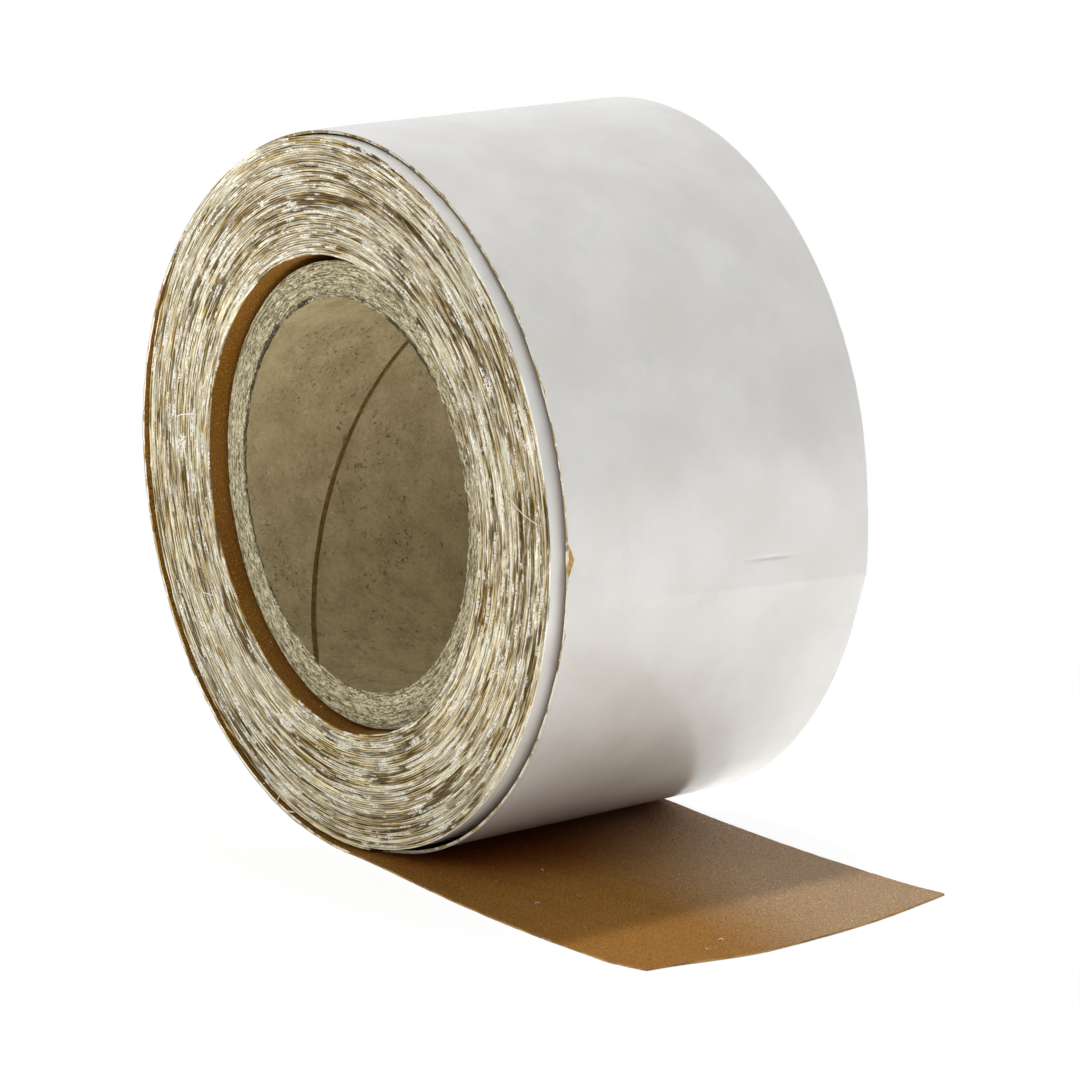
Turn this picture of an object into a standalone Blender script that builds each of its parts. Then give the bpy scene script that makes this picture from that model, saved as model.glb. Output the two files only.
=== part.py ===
"""Roll of self-adhesive abrasive paper on a spiral-wound paperboard core.

Metres, +Z up. The roll's axis lies along Y and the roll stands on its own loose end, which runs out
along +X on the table. The origin is on the table (Z = 0 is the underside of the release liner),
directly under the roll's axis and midway between the two end faces of the wound pack. The front is
-Y; angles round the roll run from +X towards +Z, anticlockwise as seen from the front.

The strip is a laminate of three layers: abrasive-coated paper, a film of adhesive and a release
liner. It is wound with the abrasive inwards, so the liner is the outer skin of the roll and the
underside of the loose end. Fifty turns lie tight in the pack; the next is slack and runs off as
the tail.
"""

import math

import bmesh
import bpy

MM = 0.001                   # metres in a millimetre; all sizes below are in millimetres

# ---- wound pack -----------------------------------------------------------------------------------
WIDTH = 70.0                 # width of the strip, and length of the pack and of the core
FRONT = -WIDTH / 2           # y of the pack's front face
TURN = 0.45                  # radial pitch of one turn of laminate
BANDS = 10                   # the pack is divided at every fifth turn, so that it can telescope
TURNS_PER_BAND = 5
BAND_PITCH = TURNS_PER_BAND * TURN
BAND_GAP = 0.05              # slip clearance between neighbouring bands
PACK_INNER_R = 45.9          # inner face of the innermost turn

SEGMENTS = 60                # facets round the roll
STEP_DEG = 360.0 / SEGMENTS
START_DEG = -90.0 + STEP_DEG / 2   # first vertex of every winding; a facet spans the lowest point

# ---- core -----------------------------------------------------------------------------------------
CORE_BORE_R = 38.05          # nominal 3 inch (76.2 mm) bore
CORE_PLIES = (               # name, thickness; bore outwards
    ("core_inner_ply", 0.60),
    ("core_wall_ply_1", 1.90),
    ("core_wall_ply_2", 1.90),
    ("core_wall_ply_3", 1.90),
    ("core_outer_ply", 0.60),
)
PLY_GAP = 0.04
CORE_RECESS = 3.3            # the core stands this far back from the pack's front face
SEAM_LEAD = 121.5            # lead of the spiral joint in the core's inner ply, per turn
SEAM_GAP = 0.9               # open width of that joint, square to its edges
SEAM_ANGLE = -115.4          # where the joint meets the core's front end, degrees
SEAM_SECTIONS = 96           # steps along the joint's cutter
CUTTER_END_OVERRUN = 3.0     # cutter length beyond each end of the core
CUTTER_WALL_OVERRUN = 1.0    # cutter depth beyond each face of the ply

# ---- laminate -------------------------------------------------------------------------------------
LINER_T = 0.10
ADHESIVE_T = 0.03
SHEET_T = 0.28
FILM_GAP = 0.01              # between the layers of the laminate
ADHESIVE_DEPTH = LINER_T + FILM_GAP
SHEET_DEPTH = ADHESIVE_DEPTH + ADHESIVE_T + FILM_GAP
LAMINATE = SHEET_DEPTH + SHEET_T

LAYERS = {                   # depths of each layer's two faces below the laminate's outer face
    "sheet": (SHEET_DEPTH, LAMINATE),
    "adhesive": (ADHESIVE_DEPTH, ADHESIVE_DEPTH + ADHESIVE_T),
    "liner": (0.0, LINER_T),
}

# ---- slack turn -----------------------------------------------------------------------------------
SLACK_START_R = 69.05        # inner face of the slack turn where it leaves the pack
SLACK_END_R = 69.98          # outer face of the slack turn where it meets the table
AXIS_Z = SLACK_END_R * math.cos(math.radians(STEP_DEG / 2))   # puts the lowest facet on Z = 0

# Sideways place of the strip. Travel is the distance along it past the point under the axis.
SLACK_DRIFT = 3.0            # on the right the slack turn stands this far behind the pack's front
SLACK_LEAD = 1.0             # low on the left it stands this far forward of it
SWING_END = 120.0            # the swing between the two ends this far before the point under the axis
SWING_LENGTH = 115.0         # and takes this much of the strip
SKEW = 0.2223                # forward run of the loose end where it leaves the roll, mm per mm
SKEW_BOW = 0.000815          # how fast that run straightens, mm per mm squared
RUN_IN = 6.0                 # length over which the edge turns into that run

# ---- tail -----------------------------------------------------------------------------------------
HINGES = (9.9, 29.7, 49.5, 69.4)   # x of the lines across the tail where it bends
PEEL_X = 90.0                # line across the tail where the sheet starts to part from its liner
TAIL_END = 114.0
HINGE_GAP = 0.15             # half of the clearance at each line
TAIL_STATION_PITCH = 10.0    # approximate spacing of the sections along the tail
MIN_TAIL_STEPS = 2

# ---- display and finishes -------------------------------------------------------------------------
PIVOT_DISPLAY_SIZE = 10.0
SHARP_DEG = 30.0             # edges of the lofted strips steeper than this are shaded sharp

FINISHES = {                 # base colour (linear RGB) and roughness
    "liner": {"colour": (0.80, 0.79, 0.76), "roughness": 0.35},
    "adhesive": {"colour": (0.72, 0.60, 0.36), "roughness": 0.25},
    "sheet": {"colour": (0.33, 0.19, 0.07), "roughness": 0.85},
    "edge": {"colour": (0.74, 0.68, 0.55), "roughness": 0.85},
    "board": {"colour": (0.42, 0.38, 0.29), "roughness": 0.90},
}


# ---- scene helpers --------------------------------------------------------------------------------
def clear_scene():
    for ob in list(bpy.data.objects):
        bpy.data.objects.remove(ob, do_unlink=True)
    for coll in list(bpy.data.collections):
        bpy.data.collections.remove(coll)


def collection(name):
    coll = bpy.data.collections.new(name)
    bpy.context.scene.collection.children.link(coll)
    return coll


def material(name, colour, roughness):
    mat = bpy.data.materials.new(name)
    mat.use_nodes = True
    shader = mat.node_tree.nodes["Principled BSDF"]
    shader.inputs["Base Color"].default_value = (*colour, 1.0)
    shader.inputs["Roughness"].default_value = roughness
    mat.diffuse_color = (*colour, 1.0)
    return mat


def hang_under(ob, parent):
    """Parents the object without moving it."""
    ob.parent = parent
    ob.matrix_parent_inverse = parent.matrix_world.inverted()


def place(ob, coll, layer, parent=None):
    """Links the object, gives it its own material and hangs it under the empty it moves with."""
    coll.objects.link(ob)
    ob.data.materials.append(material(ob.name + "_finish", **FINISHES[layer]))
    if parent is not None:
        hang_under(ob, parent)
    ob["layer"] = layer


def pivot(name, coll, x, z, parent=None):
    """An empty on a joint's axis, which runs along Y."""
    empty = bpy.data.objects.new(name, None)
    empty.empty_display_size = PIVOT_DISPLAY_SIZE * MM
    empty.location = (x * MM, 0.0, z * MM)
    coll.objects.link(empty)
    if parent is not None:
        hang_under(empty, parent)
    # the empty's world matrix must be current before anything is hung under it
    bpy.context.view_layer.update()
    return empty


def loft(name, rings):
    """A capped solid mesh through four-cornered sections, whose points are in millimetres."""
    bm = bmesh.new()
    sections = [
        [bm.verts.new((x * MM, y * MM, z * MM)) for x, y, z in ring]
        for ring in rings
    ]
    for near, far in zip(sections, sections[1:]):
        for i in range(4):
            j = (i + 1) % 4
            bm.faces.new((near[i], near[j], far[j], far[i]))
    bm.faces.new(sections[0][::-1])
    bm.faces.new(sections[-1])
    bmesh.ops.recalc_face_normals(bm, faces=bm.faces[:])
    mesh = bpy.data.meshes.new(name)
    bm.to_mesh(mesh)
    bm.free()
    return mesh


# ---- wound pack -----------------------------------------------------------------------------------
def spiral_outline(start_r):
    """Spiral that gains one pitch in one turn; closed, it is a circle with one step in it."""
    points = []
    for i in range(SEGMENTS + 1):
        angle = math.radians(START_DEG + i * STEP_DEG)
        radius = start_r + TURN * i / SEGMENTS
        points.append((radius * math.cos(angle) * MM, radius * math.sin(angle) * MM))
    return points


def winding_band(name, inner_r, outer_r):
    """Turns of the strip as one solid: filled between two spiral outlines, extruded on the axis."""
    curve = bpy.data.curves.new(name, "CURVE")
    curve.dimensions = "2D"
    curve.fill_mode = "BOTH"
    curve.extrude = WIDTH / 2 * MM
    for start_r in (inner_r, outer_r):
        outline = spiral_outline(start_r)
        spline = curve.splines.new("POLY")
        spline.points.add(len(outline) - 1)
        for point, (x, y) in zip(spline.points, outline):
            point.co = (x, y, 0.0, 1.0)
        spline.use_cyclic_u = True
    ob = bpy.data.objects.new(name, curve)
    ob.rotation_euler = (math.radians(90), 0.0, 0.0)
    ob.location = (0.0, 0.0, AXIS_Z * MM)
    return ob


def build_pack(coll, roll_axis):
    """The bands of the pack, inside to outside."""
    for i in range(BANDS):
        inner_r = PACK_INNER_R + i * BAND_PITCH
        band = winding_band(f"winding_{i + 1:02d}", inner_r, inner_r + BAND_PITCH - BAND_GAP)
        place(band, coll, "edge", roll_axis)


# ---- core -----------------------------------------------------------------------------------------
def core_ply(name, inner_r, outer_r):
    """A tube about the roll's axis: a rectangular profile with a Screw modifier."""
    inner, outer, half = inner_r * MM, outer_r * MM, WIDTH / 2 * MM
    profile = [(outer, 0.0, half), (outer, 0.0, -half), (inner, 0.0, -half), (inner, 0.0, half)]
    mesh = bpy.data.meshes.new(name)
    mesh.from_pydata(profile, [(0, 1), (1, 2), (2, 3), (3, 0)], [])
    ob = bpy.data.objects.new(name, mesh)
    screw = ob.modifiers.new("turn", "SCREW")
    screw.axis = "Z"
    screw.angle = math.radians(360)
    screw.steps = SEGMENTS
    screw.render_steps = SEGMENTS
    screw.use_merge_vertices = True
    screw.merge_threshold = 0.000001
    screw.use_smooth_shade = True
    ob.rotation_euler = (math.radians(90), 0.0, 0.0)
    ob.location = (0.0, CORE_RECESS * MM, AXIS_Z * MM)
    return ob


def seam_cutter(coll, inner_r, outer_r):
    """A helical ribbon through the inner ply's wall: the open joint between the ply's edges."""
    low_r = inner_r - CUTTER_WALL_OVERRUN
    high_r = outer_r + CUTTER_WALL_OVERRUN
    lead_per_radian = SEAM_LEAD / (2 * math.pi)
    # half of the joint's width, measured along the axis instead of square to the joint
    half_gap = SEAM_GAP / 2 * math.hypot(1.0, lead_per_radian / ((inner_r + outer_r) / 2))
    length = WIDTH + 2 * CUTTER_END_OVERRUN

    rings = []
    for i in range(SEAM_SECTIONS + 1):
        behind_end = -CUTTER_END_OVERRUN + length * i / SEAM_SECTIONS   # from the core's front end
        angle = math.radians(SEAM_ANGLE - behind_end / SEAM_LEAD * 360.0)
        y = FRONT + CORE_RECESS + behind_end
        corners = ((low_r, -1), (high_r, -1), (high_r, 1), (low_r, 1))
        rings.append([
            (radius * math.cos(angle), y + side * half_gap, AXIS_Z + radius * math.sin(angle))
            for radius, side in corners
        ])
    ob = bpy.data.objects.new("seam_cutter", loft("seam_cutter", rings))
    coll.objects.link(ob)
    ob.hide_render = True
    ob.display_type = "WIRE"
    return ob


def build_core(coll, cutters, roll_axis):
    """The plies of the core, bore outwards; the innermost has an open spiral joint."""
    inner_r = CORE_BORE_R
    for name, thickness in CORE_PLIES:
        outer_r = inner_r + thickness
        ply = core_ply(name, inner_r, outer_r)
        place(ply, coll, "board", roll_axis)
        if name == "core_inner_ply":
            joint = ply.modifiers.new("spiral_joint", "BOOLEAN")
            joint.operation = "DIFFERENCE"
            joint.solver = "EXACT"
            joint.object = seam_cutter(cutters, inner_r, outer_r)
        inner_r = outer_r + PLY_GAP


# ---- slack turn and tail --------------------------------------------------------------------------
def edge_offset(travel):
    """Y of the strip's front edge against the pack's front face.

    The slack turn sits back on the right and over the top, swings forwards down the left-hand side
    of the roll, and runs off along the table slightly askew.
    """
    back = min(1.0, max(0.0, (-travel - SWING_END) / SWING_LENGTH))
    swing = (SLACK_DRIFT + SLACK_LEAD) * back * back * (3.0 - 2.0 * back)
    # close to zero on the roll and to the travel itself on the table, with a smooth change between
    run = RUN_IN * math.log1p(math.exp(travel / RUN_IN))
    return swing - SLACK_LEAD - SKEW * run + SKEW_BOW * run * run


def flat_station(x):
    """Station on the table, where the outer face looks down."""
    return (x, 0.0, 0.0, -1.0, x)


def slack_turn_path():
    """Stations (x, z, normal x, normal z, travel) of the laminate's outer face.

    They run from where it leaves the pack anticlockwise round the roll, then on to the first bend
    line of the tail.
    """
    start_r = SLACK_START_R + LAMINATE
    stations = []
    for i in range(SEGMENTS):
        degrees = START_DEG + i * STEP_DEG
        normal_x = math.cos(math.radians(degrees))
        normal_z = math.sin(math.radians(degrees))
        radius = start_r + (SLACK_END_R - start_r) * i / (SEGMENTS - 1)
        travel = -math.radians(270.0 - degrees) * SLACK_END_R
        stations.append(
            (radius * normal_x, AXIS_Z + radius * normal_z, normal_x, normal_z, travel)
        )
    stations += [flat_station(0.0), flat_station(HINGES[0] - HINGE_GAP)]
    return stations


def tail_path(start_x, end_x):
    """Evenly spaced flat stations of the tail's underside."""
    length = end_x - start_x
    steps = max(MIN_TAIL_STEPS, round(length / TAIL_STATION_PITCH))
    return [flat_station(start_x + length * i / steps) for i in range(steps + 1)]


def build_strip(name, coll, layer, stations, parent=None):
    """One layer of the laminate: a ribbon lofted through sections that shift across the roll."""
    outer_depth, inner_depth = LAYERS[layer]
    rings = []
    for x, z, normal_x, normal_z, travel in stations:
        front = FRONT + edge_offset(travel)
        rear = front + WIDTH
        corners = (
            (outer_depth, front), (outer_depth, rear), (inner_depth, rear), (inner_depth, front),
        )
        rings.append([(x - normal_x * depth, y, z - normal_z * depth) for depth, y in corners])
    mesh = loft(name, rings)
    mesh.shade_smooth()
    mesh.set_sharp_from_angle(angle=math.radians(SHARP_DEG))
    place(bpy.data.objects.new(name, mesh), coll, layer, parent)


def build_slack_turn(coll):
    """The slack outer turn with the first stretch of the tail."""
    for layer in LAYERS:
        build_strip("outer_turn_" + layer, coll, layer, slack_turn_path())


def build_tail(coll):
    """Stretches hinged in a row along the tail's upper face, then the peeling tip."""
    bend = None
    for number, hinge_x in enumerate(HINGES, start=1):
        bend = pivot(f"tail_bend_{number}", coll, hinge_x, LAMINATE, bend)
        last = number == len(HINGES)
        for layer in LAYERS:
            if not last:
                end_x = HINGES[number] - HINGE_GAP
            elif layer == "liner":
                end_x = TAIL_END
            else:
                end_x = PEEL_X - HINGE_GAP
            stations = tail_path(hinge_x + HINGE_GAP, end_x)
            build_strip(f"tail_{layer}_{number}", coll, layer, stations, bend)

    # the tip of the sheet, which peels off the liner with its adhesive
    peel = pivot("peel_line", coll, PEEL_X, LAMINATE, bend)
    for layer in ("sheet", "adhesive"):
        stations = tail_path(PEEL_X + HINGE_GAP, TAIL_END)
        build_strip("tip_" + layer, coll, layer, stations, peel)


# ---- assembly -------------------------------------------------------------------------------------
def main():
    clear_scene()
    parts = collection("abrasive_paper_roll")
    cutters = collection("cutters")
    roll_axis = pivot("roll_axis", parts, 0.0, AXIS_Z)
    build_pack(parts, roll_axis)
    build_core(parts, cutters, roll_axis)
    build_slack_turn(parts)
    build_tail(parts)
    bpy.context.view_layer.update()


main()
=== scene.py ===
# A roll of self-adhesive abrasive paper on a board core, with its tail unrolled on the table.
# The roll's axis runs along Y, its front face looks towards -Y, and the tail runs out to +X on z = 0.
# Each CAD node is replaced by a fine closed mesh with relief and a procedural material.
# Lengths are millimetres unless noted; meshes are written in metres.

import math
from collections import namedtuple
from functools import partial

import bpy
import numpy as np
from mathutils import Matrix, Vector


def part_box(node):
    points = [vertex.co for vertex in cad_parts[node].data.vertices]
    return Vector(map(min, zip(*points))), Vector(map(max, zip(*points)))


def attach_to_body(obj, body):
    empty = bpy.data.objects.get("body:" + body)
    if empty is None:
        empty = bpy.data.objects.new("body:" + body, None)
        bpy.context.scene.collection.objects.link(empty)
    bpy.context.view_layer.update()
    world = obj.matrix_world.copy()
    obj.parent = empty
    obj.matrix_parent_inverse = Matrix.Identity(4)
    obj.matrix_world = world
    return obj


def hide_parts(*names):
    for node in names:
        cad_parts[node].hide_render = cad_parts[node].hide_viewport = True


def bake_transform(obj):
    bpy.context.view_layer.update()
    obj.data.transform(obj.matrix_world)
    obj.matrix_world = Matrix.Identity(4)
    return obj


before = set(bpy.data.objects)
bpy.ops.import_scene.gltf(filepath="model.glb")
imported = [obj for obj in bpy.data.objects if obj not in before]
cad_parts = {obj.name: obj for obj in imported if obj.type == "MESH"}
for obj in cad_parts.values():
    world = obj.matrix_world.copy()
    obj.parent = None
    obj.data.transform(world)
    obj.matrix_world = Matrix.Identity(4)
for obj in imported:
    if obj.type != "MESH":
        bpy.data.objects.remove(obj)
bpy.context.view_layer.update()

# ---------------------------------------------------------------------------------------------
# dimensions shared by several pieces
# ---------------------------------------------------------------------------------------------
MM = 0.001                                   # metres in a millimetre
core_lo, core_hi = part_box("core_outer_ply")
AXIS_Z = (core_lo.z + core_hi.z) / 2 * 1000.0
CORE_FRONT, CORE_BACK = core_lo.y * 1000.0, core_hi.y * 1000.0
WIDTH = 70.0
FRONT, BACK = -WIDTH / 2, WIDTH / 2

# the wound pack: bands of turns, each turn one pitch further out
PITCH = 0.45
BANDS, TURNS_PER_BAND = 10, 5
PACK_RADIUS = 45.9                           # inner face of the first turn
BAND_GAP = 0.05
START_DEG = -87.0                            # from +X towards +Z, where every turn starts
START = math.radians(START_DEG)

# the slack turn runs from START_DEG to the table contact, where the tail begins
CONTACT_DEG = 270.0
# depths are measured from the liner's bare face, setbacks inwards from the slit or cut edge
Layer = namedtuple("Layer", "near far slot seed setback end_setback")
LAYERS = {
    "sheet": Layer(near=0.15, far=0.43, slot="abrasive_sheet", seed=14, setback=0.03,
                   end_setback=0.04),
    "adhesive": Layer(near=0.108, far=0.142, slot="adhesive_film", seed=7, setback=0.10,
                      end_setback=0.10),
    "liner": Layer(near=0.0, far=0.10, slot="release_liner", seed=0, setback=0.0,
                   end_setback=0.0),
}
LAMINATE = LAYERS["sheet"].far
SLACK_RADIUS = 69.05 + LAMINATE              # outer face of the slack turn where it starts


# ---------------------------------------------------------------------------------------------
# curves and noise
# ---------------------------------------------------------------------------------------------
def smooth(t):
    t = np.clip(t, 0.0, 1.0)
    return t * t * (3.0 - 2.0 * t)


def rise(value, start, over):
    """0 up to start, 1 from start + over."""
    return smooth((value - start) / over)


def fall(value, end, over):
    """1 up to end - over, 0 from end."""
    return smooth((end - value) / over)


def decay(distance, reach):
    """1 at and before an edge, dying away beyond it."""
    return np.exp(-np.maximum(0, distance) / reach)


def noise_line(t, seed):
    """Smooth value noise along a line, about -1..1, one knot a unit."""
    table = np.random.default_rng(seed).uniform(-1.0, 1.0, 8192)
    t = np.asarray(t, float)
    knot = np.floor(t).astype(int)
    share = smooth(t - knot)
    return table[knot % 8192] * (1.0 - share) + table[(knot + 1) % 8192] * share


def noise_plane(x, y, seed):
    """Smooth value noise in a plane, about -1..1, one knot a unit."""
    table = np.random.default_rng(seed).uniform(-1.0, 1.0, (256, 256))
    x, y = np.broadcast_arrays(np.asarray(x, float), np.asarray(y, float))
    i, j = np.floor(x).astype(int), np.floor(y).astype(int)
    across, along = smooth(x - i), smooth(y - j)

    def row(j):
        return table[i % 256, j % 256] * (1 - across) + table[(i + 1) % 256, j % 256] * across

    return row(j) * (1 - along) + row(j + 1) * along


def noise_sum(position, terms, seed_shift=0):
    """Noises added up; each term is (size, knots a unit, seed)."""
    return sum(size * noise_line(position * knots, seed + seed_shift)
               for size, knots, seed in terms)


# ---------------------------------------------------------------------------------------------
# shader writing
# ---------------------------------------------------------------------------------------------
def srgb(red, green, blue):
    def linear(channel):
        channel /= 255.0
        return channel / 12.92 if channel <= 0.04045 else ((channel + 0.055) / 1.055) ** 2.4
    return (linear(red), linear(green), linear(blue), 1.0)


class Value:
    """A node's output; arithmetic on it adds Math nodes to its tree."""

    def __init__(self, nodes, socket):
        self.nodes, self.socket = nodes, socket

    def __add__(self, other):
        return self.nodes.math("ADD", self, other)

    def __sub__(self, other):
        return self.nodes.math("SUBTRACT", self, other)

    def __rsub__(self, other):
        return self.nodes.math("SUBTRACT", other, self)

    def __mul__(self, other):
        return self.nodes.math("MULTIPLY", self, other)

    def __truediv__(self, other):
        return self.nodes.math("DIVIDE", self, other)

    def __abs__(self):
        return self.nodes.math("ABSOLUTE", self)

    def scaled(self, by, plus):
        return self.nodes.math("MULTIPLY_ADD", self, by, plus)

    def ramp(self, over, to=(0.0, 1.0)):
        """Smooth step between the two values of `to` while this runs between those of `over`."""
        node = self.nodes.node("ShaderNodeMapRange", interpolation_type="SMOOTHSTEP")
        self.nodes.put(node.inputs["Value"], self)
        for name, value in zip(("From Min", "From Max", "To Min", "To Max"), (*over, *to)):
            node.inputs[name].default_value = value
        return Value(self.nodes, node.outputs[0])


class NodeTree:
    """A small way to write node trees."""

    def __init__(self, tree):
        self.tree = tree
        tree.nodes.clear()

    def node(self, kind, **settings):
        made = self.tree.nodes.new(kind)
        for name, setting in settings.items():
            setattr(made, name, setting)
        return made

    def put(self, socket, value):
        if isinstance(value, Value):
            self.tree.links.new(value.socket, socket)
        elif value is not None:
            socket.default_value = value

    def fill(self, node, *values, output=0):
        """Sets or links the node's first inputs, and gives one of its outputs."""
        for socket, value in zip(node.inputs, values):
            self.put(socket, value)
        return Value(self, node.outputs[output])

    def math(self, operation, *values, clamp=False):
        node = self.node("ShaderNodeMath", operation=operation, use_clamp=clamp)
        return self.fill(node, *values)

    def both(self, first, second):
        """Product of two masks, kept in 0..1."""
        return self.math("MULTIPLY", first, second, clamp=True)

    def either(self, first, second):
        """Sum of two masks, kept in 0..1."""
        return self.math("ADD", first, second, clamp=True)

    def most(self, first, second):
        return self.math("MAXIMUM", first, second)

    def split(self, vector):
        node = self.node("ShaderNodeSeparateXYZ")
        self.put(node.inputs[0], vector)
        return [Value(self, socket) for socket in node.outputs]

    def join(self, x, y, z):
        return self.fill(self.node("ShaderNodeCombineXYZ"), x, y, z)


class Shader(NodeTree):
    """The node tree of a new material with a Principled surface."""

    def __init__(self, name):
        self.material = bpy.data.materials.new(name)
        self.material.use_nodes = True
        super().__init__(self.material.node_tree)
        self.output = self.node("ShaderNodeOutputMaterial")
        self.bsdf = self.node("ShaderNodeBsdfPrincipled")
        self.surface = Value(self, self.bsdf.outputs[0])
        self.put(self.output.inputs[0], self.surface)

    def rest(self):
        """Place at rest, in millimetres, so that patterns don't swim when a piece bends."""
        stored = self.node("ShaderNodeAttribute", attribute_name="rest")
        node = self.node("ShaderNodeVectorMath", operation="SCALE")
        node.inputs["Scale"].default_value = 1000.0
        return self.fill(node, Value(self, stored.outputs["Vector"]), output="Vector")

    def polar(self, place):
        """(y, radius, angle) about the roll's axis."""
        x, y, z = self.split(place)
        height = z - AXIS_Z
        radius = self.math("SQRT", x * x + height * height)
        return y, radius, self.math("ARCTAN2", height, x)

    def circle(self, angle):
        return self.math("COSINE", angle), self.math("SINE", angle)

    def noise(self, place, scale=1.0, detail=3.0, rough=0.6, warp=0.0, shift=None):
        if shift:
            adder = self.node("ShaderNodeVectorMath", operation="ADD")
            place = self.fill(adder, place, shift, output="Vector")
        node = self.node("ShaderNodeTexNoise")
        self.put(node.inputs["Vector"], place)
        node.inputs["Scale"].default_value = scale
        node.inputs["Detail"].default_value = detail
        node.inputs["Roughness"].default_value = rough
        node.inputs["Distortion"].default_value = warp
        return Value(self, node.outputs[0])

    def around(self, circle, along, across, offset=None, **look):
        """Noise round the axis: `along` features a radian, varied outwards by `across`."""
        cos, sin = circle
        first = cos * along if offset is None else cos.scaled(along, plus=offset)
        return self.noise(self.join(first, sin * along, across), **look)

    def cells(self, place, scale):
        node = self.node("ShaderNodeTexVoronoi")
        self.put(node.inputs["Vector"], place)
        node.inputs["Scale"].default_value = scale
        return Value(self, node.outputs["Distance"])

    def mix(self, share, under, over):
        node = self.node("ShaderNodeMix", data_type="RGBA", clamp_factor=True)
        for index, value in ((0, share), (6, under), (7, over)):
            self.put(node.inputs[index], value)
        return Value(self, node.outputs[2])

    def bump(self, height, distance, strength, after=None):
        """Distance is in metres."""
        node = self.node("ShaderNodeBump")
        node.inputs["Distance"].default_value = distance
        node.inputs["Strength"].default_value = strength
        self.put(node.inputs["Height"], height)
        self.put(node.inputs["Normal"], after)
        return Value(self, node.outputs[0])

    def set(self, **inputs):
        for name, value in inputs.items():
            self.put(self.bsdf.inputs[name.replace("_", " ")], value)


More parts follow.
